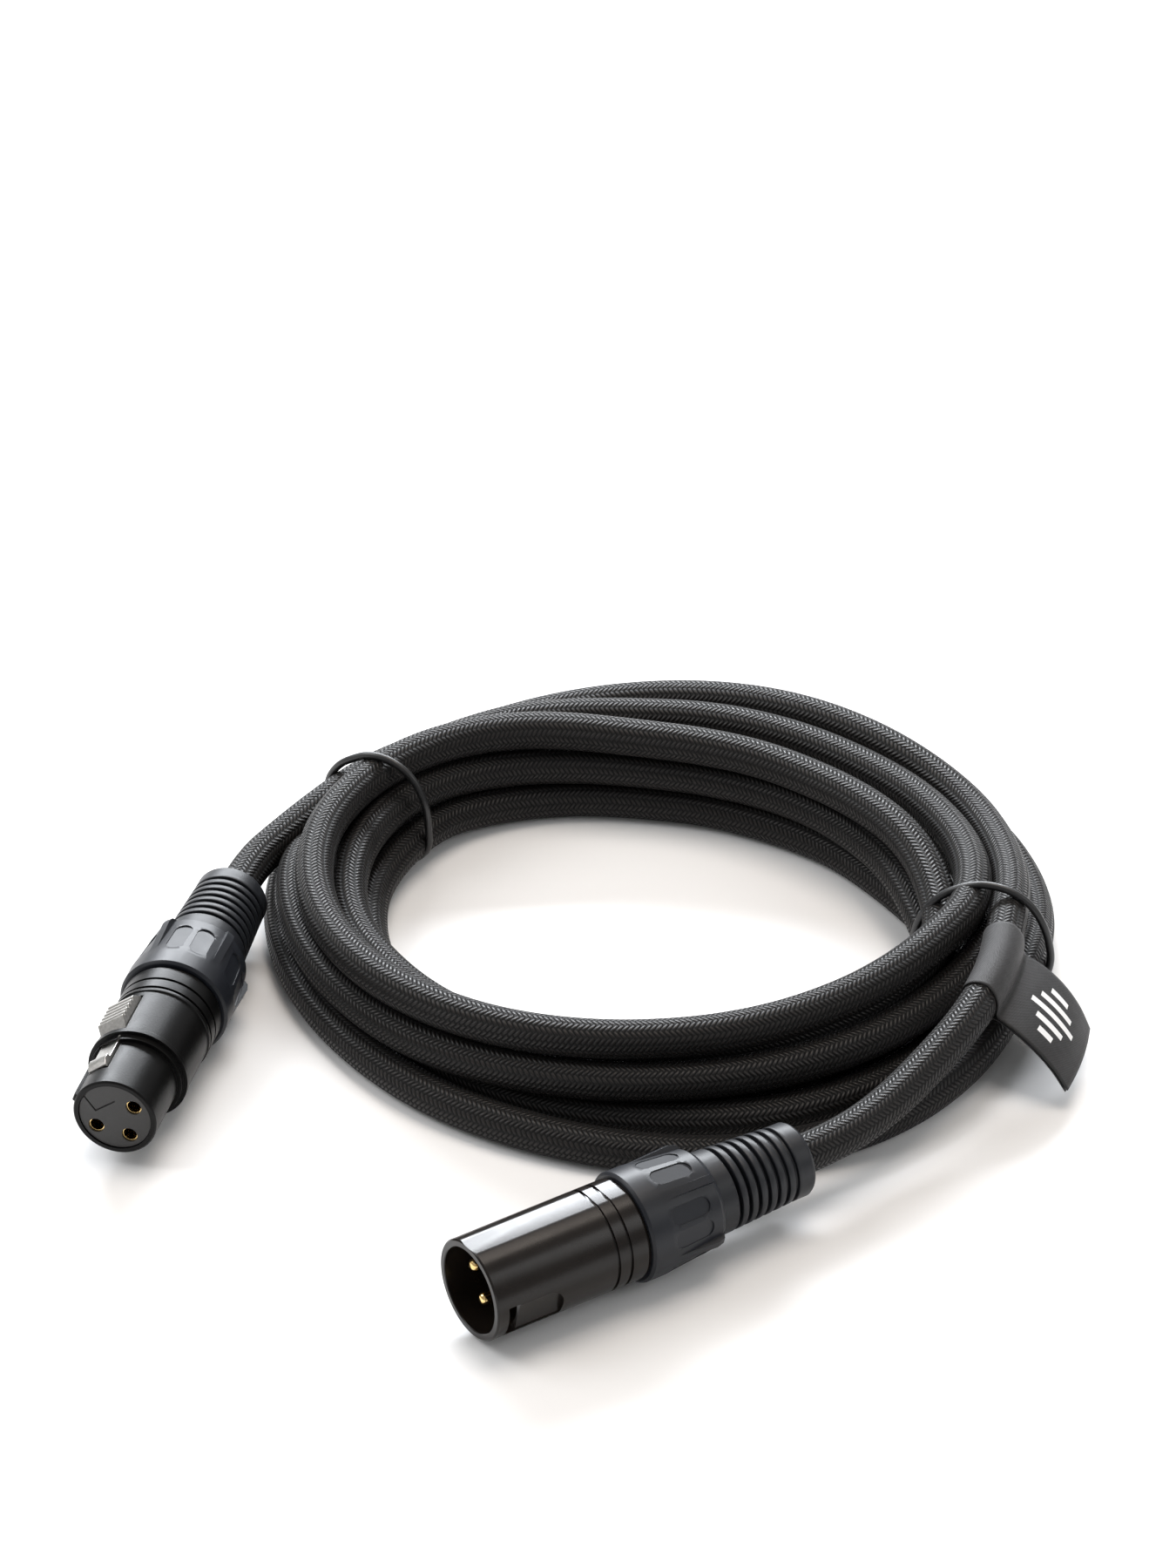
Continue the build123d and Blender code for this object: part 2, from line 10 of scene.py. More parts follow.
import bmesh
import bpy
import numpy as np
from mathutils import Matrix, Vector

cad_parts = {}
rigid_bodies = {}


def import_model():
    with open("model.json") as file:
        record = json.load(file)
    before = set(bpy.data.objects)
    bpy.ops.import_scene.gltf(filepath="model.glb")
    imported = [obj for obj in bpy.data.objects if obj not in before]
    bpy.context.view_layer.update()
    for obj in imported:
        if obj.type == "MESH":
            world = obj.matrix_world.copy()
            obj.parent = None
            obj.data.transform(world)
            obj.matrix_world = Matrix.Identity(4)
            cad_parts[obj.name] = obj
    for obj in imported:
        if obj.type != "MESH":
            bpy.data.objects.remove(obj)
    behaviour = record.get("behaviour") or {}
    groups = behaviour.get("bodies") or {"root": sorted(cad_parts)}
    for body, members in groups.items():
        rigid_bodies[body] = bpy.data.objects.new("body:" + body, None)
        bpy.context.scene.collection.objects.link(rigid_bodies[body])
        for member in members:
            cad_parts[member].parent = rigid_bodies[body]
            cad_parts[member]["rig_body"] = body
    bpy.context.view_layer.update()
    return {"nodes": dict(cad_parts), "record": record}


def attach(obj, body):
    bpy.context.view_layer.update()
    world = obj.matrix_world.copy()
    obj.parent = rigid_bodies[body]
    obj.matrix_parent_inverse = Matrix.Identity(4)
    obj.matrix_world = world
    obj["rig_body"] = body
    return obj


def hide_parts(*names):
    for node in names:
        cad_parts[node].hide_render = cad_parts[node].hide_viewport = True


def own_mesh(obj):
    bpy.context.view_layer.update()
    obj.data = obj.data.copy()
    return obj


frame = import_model()
nodes = frame["nodes"]

MM = 0.001

# ---------------------------------------------------------------- sizes
cable_r = 3.65 * MM
cable_gap = 7.35 * MM
cable_sides = 32
route_resolution = 7
coil_step = 10.0
settle_rounds = 300
settle_release_share = 0.7
braid_pitch = 1.0 * MM
braid_carriers = 17

label_width = 18.2 * MM
label_skew = 1.8 * MM
label_slant = 4.6 * MM
label_wall = 0.22 * MM
label_clearance = 0.12 * MM
label_stations = 30
label_flag_steps = 22
label_wrap_steps = 56
label_wrap_degrees = (-14, 326)
label_upper = (64.8, -27.6, 18.4)
weave_size = 0.35 * MM

# The flag's line from the sleeve to its free end: distance outwards and height, in mm
label_hang = [(3.9, -1.9), (8.0, -3.4), (12.0, -5.9), (15.4, -9.1), (18.0, -12.8)]
label_layer_offset = (0.25 * MM, 0.3 * MM)

# Printed level bars: their heights in mm, spacing, half width and distance from the free end
bar_heights = (4.2, 7.6, 10.4, 6.4, 3.4)
bar_spacing = 2.4 * MM
bar_half_width = 0.6 * MM
bars_from_end = 9.4 * MM

# Elastic rings: angle round the coil, and points given as (from the centre, height) in mm
tie_wire_r = 0.75 * MM
tie_sides = 16
tie_stations = 160
tie_rings = {
    "elastic_right": (-16.0, [
        (50.1, 10.0), (52.0, 15.5), (55.5, 19.9), (59.0, 22.2), (63.0, 23.4), (68.0, 22.9),
        (71.6, 20.8), (74.2, 17.2), (75.8, 12.5), (76.2, 8.5), (74.8, 4.0), (71.0, 1.2),
        (64.0, 1.0), (57.0, 1.2), (52.4, 3.2), (50.4, 6.4),
    ]),
    "elastic_left": (154.0, [
        (48.8, 9.6), (50.0, 16.4), (53.0, 20.9), (56.8, 22.9), (61.0, 23.0), (64.8, 21.2),
        (67.8, 18.9), (69.8, 16.0), (70.9, 12.6), (72.8, 9.0), (75.4, 4.6), (73.4, 1.5),
        (66.0, 1.0), (56.0, 1.1), (51.4, 2.2), (49.2, 4.8),
    ]),
}

# Leaf spring under the latch: width of its rounded edges
spring_edge = 0.04 * MM

# Routes of the two leads, from the boots into the coil
plug_lead = [
    (24.02, -84.21, 10.6),
    (31.8, -79.0, 10.6),
    (41.0, -70.0, 11.6),
    (49.6, -59.4, 14.0),
    (57.0, -49.2, 16.6),
    (62.6, -36.0, 18.0),
]
socket_lead = [
    (-50.3, 37.2, 14.8),
    (-57.3, 30.9, 14.6),
    (-64.1, 24.0, 13.4),
    (-71.2, 16.2, 11.7),
    (-77.65, 7.62, 10.6),
    (-80.31, -2.52, 10.6),
]

# Where each turn of the coil passes: angle in degrees, distance from the coil's centre and
# height of the cable's centre in millimetres. Every turn starts at the tie on the right.
turns = [
    [(-19, 68.2, 18.7), (-4, 66.2, 16.4), (10, 65.0, 13.8), (24, 64.2, 12.6), (42, 60.6, 14.6),
     (60, 59.2, 15.4), (78, 60.6, 13.8), (98, 63.0, 11.2), (110, 64.0, 10.0), (120, 64.6, 9.2),
     (132, 65.6, 8.8), (141, 66.3, 8.6), (150, 65.8, 8.2), (160, 66.6, 9.4),
     (172, 68.4, 10.8), (191, 68.2, 10.8), (208, 67.0, 10.8), (231, 65.7, 10.8),
     (250, 63.2, 10.9), (270, 61.4, 10.9), (290, 60.7, 10.9), (308, 61.0, 10.9),
     (322, 62.2, 11.4)],
    [(-19, 64.2, 12.2), (-4, 61.5, 9.0), (12, 60.6, 6.8), (28, 60.8, 7.0), (42, 62.4, 9.0),
     (56, 65.0, 10.9), (70, 67.0, 9.8), (84, 69.0, 7.0), (98, 69.6, 4.6), (115, 70.0, 3.65),
     (135, 70.6, 3.65), (150, 70.8, 3.65), (165, 70.5, 3.65), (180, 69.8, 3.65),
     (197, 68.9, 3.65), (216, 68.5, 3.65), (234, 69.7, 3.65), (251, 71.0, 3.65),
     (266, 73.2, 3.65), (282, 75.4, 3.65), (297, 75.9, 3.65), (310, 74.7, 3.65),
     (325, 72.8, 4.6)],
    [(-19, 71.6, 8.0), (-7, 71.4, 6.0), (6, 71.3, 3.65), (22, 70.2, 3.65), (38, 68.0, 3.65),
     (52, 65.6, 3.65), (66, 63.2, 3.65), (80, 61.6, 3.65), (95, 61.0, 3.65), (115, 61.2, 3.65),
     (135, 61.8, 3.65), (150, 62.2, 3.65), (165, 62.8, 3.65), (185, 62.2, 3.65),
     (215, 61.8, 3.65), (245, 62.6, 3.65), (270, 63.8, 3.65), (297, 66.0, 3.65),
     (318, 65.4, 3.65)],
    [(-19, 62.0, 4.6), (-7, 54.0, 3.65), (3, 48.6, 3.65), (16, 44.2, 3.65), (35, 40.8, 3.65),
     (56, 38.4, 3.65), (78, 38.6, 3.65), (93, 39.7, 3.65), (110, 43.6, 3.65), (127, 48.3, 3.8),
     (143, 52.2, 5.0), (156, 53.4, 5.4), (169, 55.6, 4.4), (185, 56.2, 3.65), (210, 55.0, 3.65),
     (240, 54.6, 3.65), (270, 54.4, 3.65), (305, 56.2, 3.65), (325, 57.6, 4.4)],
    [(-19, 57.4, 6.6), (-7, 51.4, 9.0), (4, 47.6, 10.9), (18, 44.0, 10.9), (38, 40.6, 10.9),
     (58, 38.6, 10.9), (78, 38.4, 10.9), (93, 39.7, 10.9), (110, 44.0, 10.9), (128, 50.2, 11.2),
     (142, 54.2, 12.2), (156, 56.4, 12.8), (170, 58.2, 12.0), (186, 58.6, 10.9),
     (210, 57.0, 10.9), (240, 55.6, 10.9), (270, 54.6, 10.9), (300, 55.4, 10.9),
     (322, 56.8, 11.6)],
    [(-19, 57.0, 13.6), (-7, 52.6, 15.5), (5, 48.5, 17.5), (20, 43.6, 18.2), (40, 39.4, 18.2),
     (60, 37.9, 18.2), (79, 37.9, 18.2), (93, 39.4, 18.2), (104, 42.2, 18.2), (119, 48.6, 18.2),
     (132, 53.9, 18.2), (147, 58.7, 18.4), (158, 61.5, 18.3), (172, 64.2, 17.9),
     (182, 65.0, 17.8), (191, 65.5, 17.8), (208, 65.4, 17.8), (223, 64.2, 17.8),
     (239, 62.2, 17.8), (256, 59.7, 17.8), (270, 58.1, 17.8), (285, 57.3, 17.8),
     (300, 56.9, 17.8), (315, 57.3, 17.8), (331, 58.6, 18.2)],
    [(-19, 60.6, 18.7), (-5, 59.2, 18.0), (8, 57.0, 16.8), (24, 54.4, 16.0), (42, 52.2, 15.4),
     (60, 51.9, 15.0), (80, 53.2, 14.2), (95, 54.9, 13.4), (108, 57.5, 13.3), (120, 59.2, 14.0),
     (132, 61.0, 14.4), (141, 62.3, 14.8), (150, 64.9, 14.6), (158, 68.2, 13.6)],
]
last_turn_end = 131.0
lead_joins_at = 139.0


# ---------------------------------------------------------------- camera
def add_camera():
    """Camera of the reference view: straight ahead of the coil, 34 degrees above it."""
    target = Vector((-13.2, 51.0, 0.0)) * MM
    elevation = radians(34.0)
    distance = 1.3
    data = bpy.data.cameras.new("camera")
    data.sensor_width = 36.0
    data.lens = 151.7
    data.clip_start = 0.05
    camera = bpy.data.objects.new("camera", data)
    bpy.context.scene.collection.objects.link(camera)
    camera.location = target + Vector((0, -cos(elevation), sin(elevation))) * distance
    camera.rotation_euler = (radians(90.0) - elevation, 0, 0)
    bpy.context.scene.camera = camera


# ---------------------------------------------------------------- helpers
def link(obj):
    bpy.context.scene.collection.objects.link(obj)
    return obj


def mesh_object(name, points, faces, smooth=True):
    mesh = bpy.data.meshes.new(name)
    mesh.from_pydata([tuple(p) for p in points], [], faces)
    mesh.update()
    if smooth:
        mesh.shade_smooth()
    return link(bpy.data.objects.new(name, mesh))


def smooth_through(places, values, wanted):
    """Smooth curve through uneven places: cubic pieces with averaged slopes."""
    places = np.asarray(places, float)
    values = np.asarray(values, float)
    steps = np.diff(places)
    slopes = np.diff(values) / steps
    tangents = np.empty_like(values)
    tangents[0] = slopes[0]
    tangents[-1] = slopes[-1]
    tangents[1:-1] = (slopes[:-1] * steps[1:] + slopes[1:] * steps[:-1]) / (steps[:-1] + steps[1:])
    index = np.clip(np.searchsorted(places, wanted) - 1, 0, len(places) - 2)
    h = steps[index]
    t = (wanted - places[index]) / h
    return (
        (1 + 2 * t) * (1 - t) ** 2 * values[index]
        + t * (1 - t) ** 2 * h * tangents[index]
        + t * t * (3 - 2 * t) * values[index + 1]
        + t * t * (t - 1) * h * tangents[index + 1]
    )


def path_frames(points):
    """Two steady side directions at each point of a path."""
    tangents = np.gradient(points, axis=0)
    tangents /= np.linalg.norm(tangents, axis=1)[:, None]
    side = np.cross(tangents[0], (0, 0, 1.0))
    sides = []
    for tangent in tangents:
        side = side - tangent * side.dot(tangent)
        side = side / np.linalg.norm(side)
        sides.append(side)
    sides = np.array(sides)
    return sides, np.cross(tangents, sides)


def tube(name, points, radius, sides, closed=False):
    """Round tube that follows points, with a map of turns round it and metres along it.

    A closed tube follows a flat loop, so that its two ends meet without a twist.
    """
    points = np.asarray(points, float)
    count = len(points)
    across, up = path_frames(np.vstack([points, points[:2]]) if closed else points)
    angles = np.linspace(0, 2 * pi, sides, endpoint=False)
    along = np.r_[0, np.cumsum(np.linalg.norm(np.diff(points, axis=0), axis=1))]
    rings = []
    for i in range(count):
        around = np.outer(np.cos(angles), across[i]) + np.outer(np.sin(angles), up[i])
        rings.append(points[i] + radius * around)
    vertices = np.vstack(rings)
    faces = []
    spans = count if closed else count - 1
    for i in range(spans):
        j = (i + 1) % count
        for a in range(sides):
            b = (a + 1) % sides
            faces.append((i * sides + a, i * sides + b, j * sides + b, j * sides + a))
    obj = mesh_object(name, vertices, faces)
    layer = obj.data.uv_layers.new(name="around_along")
    face = 0
    for i in range(spans):
        low = along[i]
        high = low + np.linalg.norm(points[(i + 1) % count] - points[i])
        for a in range(sides):
            corner = 4 * face
            layer.data[corner].uv = (a / sides, low)
            layer.data[corner + 1].uv = ((a + 1) / sides, low)
            layer.data[corner + 2].uv = ((a + 1) / sides, high)
            layer.data[corner + 3].uv = (a / sides, high)
            face += 1
    return obj


# ---------------------------------------------------------------- the coil's route
def settle(angles, radii, heights, held):
    """Pushes neighbouring turns apart until none lies in another, in millimetres.

    held marks the points of the lead, which stay where they are.
    """
    per_turn = round(360 / coil_step)
    drawn = np.stack([radii, heights], -1)
    route = drawn.copy()
    gap = cable_gap / MM
    floor = cable_r / MM
    turn_count = len(angles) // per_turn + 1
    for step in range(settle_rounds):
        moved = route - drawn
        smoothed = moved.copy()
        smoothed[1:-1] = (moved[:-2] + 2 * moved[1:-1] + moved[2:]) / 4
        moved = 0.75 * moved + 0.25 * smoothed
        if step < settle_release_share * settle_rounds:
            # at first every turn is also drawn back gently to its own line
            moved *= 0.98
        route = drawn + moved
        route[0] = drawn[0]
        for _ in range(2):
            for apart in range(1, turn_count):
                first = np.arange(0, len(angles) - apart * per_turn)
                for start in range(2):
                    lower = first[(first // per_turn) % 2 == start]
                    if not len(lower):
                        continue
                    upper = lower + apart * per_turn
                    between = route[upper] - route[lower]
                    distance = np.maximum(np.linalg.norm(between, axis=1), 1e-6)
                    push = between * (np.maximum(gap - distance, 0) / distance)[:, None]
                    share = np.where(held[upper], 0.0, 0.5)[:, None]
                    route[lower] -= push * (1 - share)
                    route[upper] += push * share
            route[:, 1] = np.maximum(route[:, 1], floor)
            route[held] = drawn[held]
    return route


def coil_points():
    """Control points of the wound turns, one every coil_step degrees."""
    angles = []
    radii = []
    heights = []
    for number, turn in enumerate(turns):
        for angle, radius, height in turn:
            angles.append(angle + 360 * number)
            radii.append(radius)
            heights.append(height)
    wanted = np.arange(angles[0], angles[-1], coil_step)
    last_turn = 360 * (len(turns) - 1)
    route = settle(
        wanted,
        smooth_through(angles, radii, wanted),
        smooth_through(angles, heights, wanted),
        wanted > last_turn + lead_joins_at,
    )
    # a quadratic spline runs a little inside its control points
    outwards = 8 / (6 + 2 * cos(radians(coil_step)))
    return [
        (r * outwards * cos(radians(a)), r * outwards * sin(radians(a)), z)
        for a, (r, z) in zip(wanted, route)
        if a < last_turn + last_turn_end
    ]


def cord_route():
    """Points along the one smooth curve that the whole cable follows."""
    control = plug_lead + coil_points() + socket_lead
    data = bpy.data.curves.new("cable_route", "CURVE")
    data.dimensions = "3D"
    spline = data.splines.new("NURBS")
    spline.points.add(len(control) - 1)
    for point, place in zip(spline.points, control):
        point.co = (*[c * MM for c in place], 1.0)
    spline.order_u = 3
    spline.use_endpoint_u = True
    spline.resolution_u = route_resolution
    route = link(bpy.data.objects.new("cable_route", data))
    mesh = bpy.data.meshes.new_from_object(route)
    points = np.array([v.co[:] for v in mesh.vertices])
    bpy.data.objects.remove(route)
    bpy.data.meshes.remove(mesh)
    return points


# ---------------------------------------------------------------- materials
class Nodes:
    """Small helper that adds and links shader nodes."""

    def __init__(self, name):
        self.material = bpy.data.materials.new(name)
        self.material.use_nodes = True
        self.tree = self.material.node_tree
        self.shader = self.tree.nodes["Principled BSDF"]

    def set(self, **values):
        for key, value in values.items():
            self.shader.inputs[key.replace("_", " ")].default_value = value

    def feed(self, key, output):
        self.tree.links.new(output, self.shader.inputs[key])

    def math(self, operation, a, b=None, clamp=False):
        node = self.tree.nodes.new("ShaderNodeMath")
        node.operation = operation
        node.use_clamp = clamp
        for socket, value in zip(node.inputs, (a, b)):
            if value is None:
                continue
            if isinstance(value, (int, float)):
                socket.default_value = value
            else:
                self.tree.links.new(value, socket)
        return node.outputs[0]

    def ramp(self, factor, stops):
        node = self.tree.nodes.new("ShaderNodeValToRGB")
        while len(node.color_ramp.elements) < len(stops):
            node.color_ramp.elements.new(0.5)
        for element, (position, colour) in zip(node.color_ramp.elements, stops):
            element.position = position
            element.color = (*colour, 1)
        self.tree.links.new(factor, node.inputs[0])
        return node.outputs[0]

    def noise(self, scale, detail=3.0, stretch=(1, 1, 1)):
        place = self.tree.nodes.new("ShaderNodeTexCoord")
        mapping = self.tree.nodes.new("ShaderNodeMapping")
        mapping.inputs["Scale"].default_value = stretch
        node = self.tree.nodes.new("ShaderNodeTexNoise")
        node.inputs["Scale"].default_value = scale
        node.inputs["Detail"].default_value = detail
        self.tree.links.new(place.outputs["Object"], mapping.inputs[0])
        self.tree.links.new(mapping.outputs[0], node.inputs[0])
        return node.outputs[0]

    def map(self, name):
        node = self.tree.nodes.new("ShaderNodeUVMap")
        node.uv_map = name
        split = self.tree.nodes.new("ShaderNodeSeparateXYZ")
        self.tree.links.new(node.outputs[0], split.inputs[0])
        return split.outputs[0], split.outputs[1]

    def bump(self, height, strength, distance, under=None):
        node = self.tree.nodes.new("ShaderNodeBump")
        node.inputs["Strength"].default_value = strength
        node.inputs["Distance"].default_value = distance
        self.tree.links.new(height, node.inputs["Height"])
        if under is not None:
            self.tree.links.new(under, node.inputs["Normal"])
        return node.outputs[0]


def braid_material():
    """Herringbone braid: two sets of helical strands, each over two and under two; painted shade
    darkens the gaps between the strands.
    """
    n = Nodes("cable_braid")
    around, along = n.map("around_along")
    lengthwise = n.math("MULTIPLY", along, 1 / braid_pitch)
    crosswise = n.math("MULTIPLY", around, braid_carriers)
    rising = n.math("ADD", lengthwise, crosswise)
    falling = n.math("SUBTRACT", lengthwise, crosswise)
    band = n.math("SUBTRACT", n.math("FLOOR", rising), n.math("FLOOR", falling))
    on_top = n.math("LESS_THAN", n.math("FLOORED_MODULO", band, 4.0), 1.5)

    def ridge(position):
        offset = n.math("SUBTRACT", n.math("FRACT", position), 0.5)
        squared = n.math("MULTIPLY", offset, offset)
        return n.math("SUBTRACT", 1.0, n.math("MULTIPLY", squared, 4.0))

    upper = n.math("MULTIPLY", ridge(rising), on_top)
    lower = n.math("MULTIPLY", ridge(falling), n.math("SUBTRACT", 1.0, on_top))
    row = n.math("FRACT", n.math("ADD", crosswise, 0.25))
    arch = n.math("SINE", n.math("MULTIPLY", row, pi))
    crossing = n.math("ADD", 0.55, n.math("MULTIPLY", arch, 0.45))
    height = n.math("MULTIPLY", n.math("ADD", upper, lower), crossing)
    mottle = n.noise(900.0, 2.0)
    # the base colour follows the relief: painted shade darkens the gaps and crossings between the
    # strands to near black, under a random mottle
    gap_shade_and_mottle = n.math("MULTIPLY", height, n.math("ADD", 0.7, n.math("MULTIPLY", mottle, 0.6)))
    strand_colour_and_gap_shade = [
        (0.3, (0.0001, 0.0001, 0.00015)),
        (0.65, (0.0018, 0.0014, 0.0013)),
        (1.0, (0.013, 0.0102, 0.0092)),
    ]
    n.feed("Base Color", n.ramp(gap_shade_and_mottle, strand_colour_and_gap_shade))
    n.feed("Roughness", n.math("SUBTRACT", 1.0, n.math("MULTIPLY", height, 0.7)))
    n.set(Specular_IOR_Level=0.33)
    n.feed("Normal", n.bump(height, 1.0, 0.22 * MM))
    return n.material


def plastic_material(name, low, high, roughness, grain, grain_size, specular=0.5):
    """Moulded or coated surface with a faint uneven tone, uneven gloss and fine grain."""
    n = Nodes(name)
    patches = n.noise(120.0, 4.0)
    n.feed("Base Color", n.ramp(patches, [(0.3, low), (0.7, high)]))
    gloss = n.noise(400.0, 5.0)
    n.feed("Roughness", n.math("ADD", roughness - 0.04, n.math("MULTIPLY", gloss, 0.08)))
    n.set(Specular_IOR_Level=specular)
    n.feed("Normal", n.bump(n.noise(grain_size, 2.0), grain, 0.03 * MM))
    return n.material


def metal_material(name, low, high, roughness):
    """Plated metal with faint drawn lines."""
    n = Nodes(name)
    lines = n.noise(2500.0, 2.0, stretch=(0.15, 1, 1))
    n.feed("Base Color", n.ramp(lines, [(0.3, low), (0.7, high)]))
    n.feed("Roughness", n.math("ADD", roughness - 0.05, n.math("MULTIPLY", lines, 0.1)))
    n.set(Metallic=1.0)
    n.feed("Normal", n.bump(lines, 0.15, 0.02 * MM))
    return n.material


def label_material(bar_rows):
    """Fine charcoal cloth with five printed level bars."""
    n = Nodes("label_fabric")
    down, across = n.map("strip")
    warp = n.math("SINE", n.math("MULTIPLY", down, 2 * pi / weave_size))
    weft = n.math("SINE", n.math("MULTIPLY", across, 2 * pi / weave_size))
    weave = n.math("MULTIPLY", warp, weft)
    cloth_tones = [(0.3, (0.012, 0.0113, 0.0117)), (0.7, (0.018, 0.017, 0.0177))]
    cloth = n.ramp(n.noise(700.0, 3.0), cloth_tones)

    def within(position, middle, half_size):
        distance = n.math("ABSOLUTE", n.math("SUBTRACT", position, middle))
        return n.math("LESS_THAN", distance, half_size)

    ink = None
    for middle_down, middle_across, half_height, half_width in bar_rows:
        bar = n.math(
            "MULTIPLY",
            within(down, middle_down, half_height),
            within(across, middle_across, half_width),
        )
        ink = bar if ink is None else n.math("MAXIMUM", ink, bar)
    mix = n.tree.nodes.new("ShaderNodeMix")
    mix.data_type = "RGBA"
    n.tree.links.new(ink, mix.inputs["Factor"])
    n.tree.links.new(cloth, mix.inputs["A"])
    mix.inputs["B"].default_value = (0.8, 0.8, 0.8, 1)
    n.feed("Base Color", mix.outputs["Result"])
    n.set(Roughness=0.55, Sheen_Weight=0.08, Sheen_Roughness=0.4, Specular_IOR_Level=0.35)
    n.feed("Normal", n.bump(weave, 0.5, 0.05 * MM))
    return n.material


# ---------------------------------------------------------------- cable
def build_cable(route):
    cable = tube("braided_cable", route, cable_r, cable_sides)
    cable.data.materials.append(braid_material())
    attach(cable, "cable")
    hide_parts("cable_coil", "plug_lead", "socket_lead")
    return cable


# ---------------------------------------------------------------- ties
def build_tie(name, angle, outline, material):
    """Elastic ring round the bundle, through points given as (from the centre, height)."""
    outline = np.array(outline, float)
    closed = np.vstack([outline, outline[:1]])
    places = np.r_[0, np.cumsum(np.linalg.norm(np.diff(closed, axis=0), axis=1))]
    wrapped = np.vstack([outline[-3:], outline, outline[:4]])
    wrapped_places = np.r_[places[-4:-1] - places[-1], places, places[1:4] + places[-1]]
    wanted = np.linspace(0, places[-1], tie_stations, endpoint=False)
    r = smooth_through(wrapped_places, wrapped[:, 0], wanted)
    z = smooth_through(wrapped_places, wrapped[:, 1], wanted)
    a = radians(angle)
    points = np.stack([r * cos(a), r * sin(a), z], -1) * MM
    tie = tube(name, points, tie_wire_r, tie_sides, closed=True)
    tie.data.materials.append(material)
    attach(tie, "cable")
    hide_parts(name.replace("elastic_", "tie_"))
    return tie


# ---------------------------------------------------------------- label
def build_label(route):
    """Strip folded round the lead, its two ends held together as a flag that hangs outwards."""
    upper = np.array(label_upper) * MM
    start = int(np.argmin(np.linalg.norm(route - upper, axis=1)))
    along = np.r_[0, np.cumsum(np.linalg.norm(np.diff(route, axis=0), axis=1))]
    places = along[start] - np.linspace(0, label_width, label_stations)
    centres = np.stack([np.interp(places, along, route[:, i]) for i in range(3)], -1)
    tangents = np.gradient(centres, axis=0)
    tangents /= -np.linalg.norm(tangents, axis=1)[:, None]
    inner = cable_r + label_clearance
    hang = np.array(label_hang) * MM
    drawn = np.linspace(0, 1, len(hang))
    fine = np.linspace(0, 1, label_flag_steps)
    flag_x = smooth_through(drawn, hang[:, 0], fine)
    flag_z = smooth_through(drawn, hang[:, 1], fine)
    slant = label_skew + fine * label_slant
    wrap = np.radians(np.linspace(*label_wrap_degrees, label_wrap_steps))
    # the skew starts where the strip leaves the cable, at both ends of the wrap
    skew = label_skew * np.clip(np.abs(wrap - wrap.mean()) / 1.4 - 1.1, 0, 1)
    flag = list(zip(flag_x, flag_z, slant, fine))
    back_x, back_z = label_layer_offset
    section = flag[::-1]
    section += [(inner * cos(t), inner * sin(t), s, 0.0) for t, s in zip(wrap, skew)]
    section += [(x - back_x, z - back_z, s, free) for x, z, s, free in flag[1:]]
    section = np.array(section)
    flat_steps = np.linalg.norm(np.diff(section[:, :2], axis=0), axis=1)
    steps = np.r_[0, np.cumsum(flat_steps)]
    outwards = -np.cross((0, 0, 1.0), tangents)
    outwards *= np.sign(np.einsum("ij,ij->i", outwards, centres))[:, None]
    outwards /= np.linalg.norm(outwards, axis=1)[:, None]
    upwards = np.cross(tangents, outwards)
    upwards *= np.sign(upwards[:, 2])[:, None]
    points = []
    for centre, *own in zip(centres, tangents, outwards, upwards):
        # the sleeve turns with the lead, the flag's free end stays flat
        for x, z, s, free in section:
            tangent, out, up = (
                (1 - free) * local + free * whole.mean(axis=0)
                for local, whole in zip(own, (tangents, outwards, upwards))
            )
            points.append(centre + out * x + up * z - tangent * s)
    count = len(section)
    faces = []
    for i in range(label_stations - 1):
        for j in range(count - 1):
            first = i * count + j
            faces.append((first, first + 1, first + count + 1, first + count))
    label = mesh_object("folded_label", points, faces)
    layer = label.data.uv_layers.new(name="strip")
    for polygon in label.data.polygons:
        for corner, vertex in zip(polygon.loop_indices, polygon.vertices):
            station, place = divmod(vertex, count)
            layer.data[corner].uv = (steps[place], label_width * station / (label_stations - 1))
    bars = []
    for number, height in enumerate(bar_heights):
        across = label_width / 2 + (number - len(bar_heights) // 2) * bar_spacing
        bars.append((bars_from_end, across, height / 2 * MM, bar_half_width))
    label.data.materials.append(label_material(bars))
    thick = label.modifiers.new("thickness", "SOLIDIFY")
    thick.thickness = label_wall
    thick.offset = 1.0
    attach(label, "cable")
    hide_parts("label")
    return label


# ---------------------------------------------------------------- connectors
def softened(node, bevel, material):
    """Copy of a machined or moulded piece with its sharp edges rounded off."""
    source = nodes[node]
    copy = link(bpy.data.objects.new(f"{node}_finished", source.data.copy()))
    mesh = bmesh.new()
    mesh.from_mesh(copy.data)
    bmesh.ops.remove_doubles(mesh, verts=mesh.verts, dist=0.002 * MM)
    bmesh.ops.dissolve_limit(
        mesh, angle_limit=radians(0.6), verts=mesh.verts, edges=mesh.edges
    )
    mesh.to_mesh(copy.data)
    mesh.free()
    copy.data.materials.clear()
    copy.data.materials.append(material)
    copy.data.shade_smooth()
    rounded = copy.modifiers.new("rounded", "BEVEL")
    rounded.width = bevel
    rounded.segments = 2
    rounded.limit_method = "ANGLE"
    rounded.angle_limit = radians(32)
    rounded.harden_normals = False
    rounded.use_clamp_overlap = True
    weighted = copy.modifiers.new("weighted", "WEIGHTED_NORMAL")
    weighted.keep_sharp = False
    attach(copy, source["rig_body"])
    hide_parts(node)
    return copy


# ---------------------------------------------------------------- studio
def add_light(name, size, place, power, colour=(1, 1, 1)):
    """Rectangular light that faces the origin."""
    data = bpy.data.lights.new(name, "AREA")
    data.shape = "RECTANGLE"
    data.size, data.size_y = size
    data.energy = power
    data.color = colour
    light = link(bpy.data.objects.new(name, data))
    light.location = place
    light.rotation_euler = (-Vector(place)).to_track_quat("-Z", "Y").to_euler()


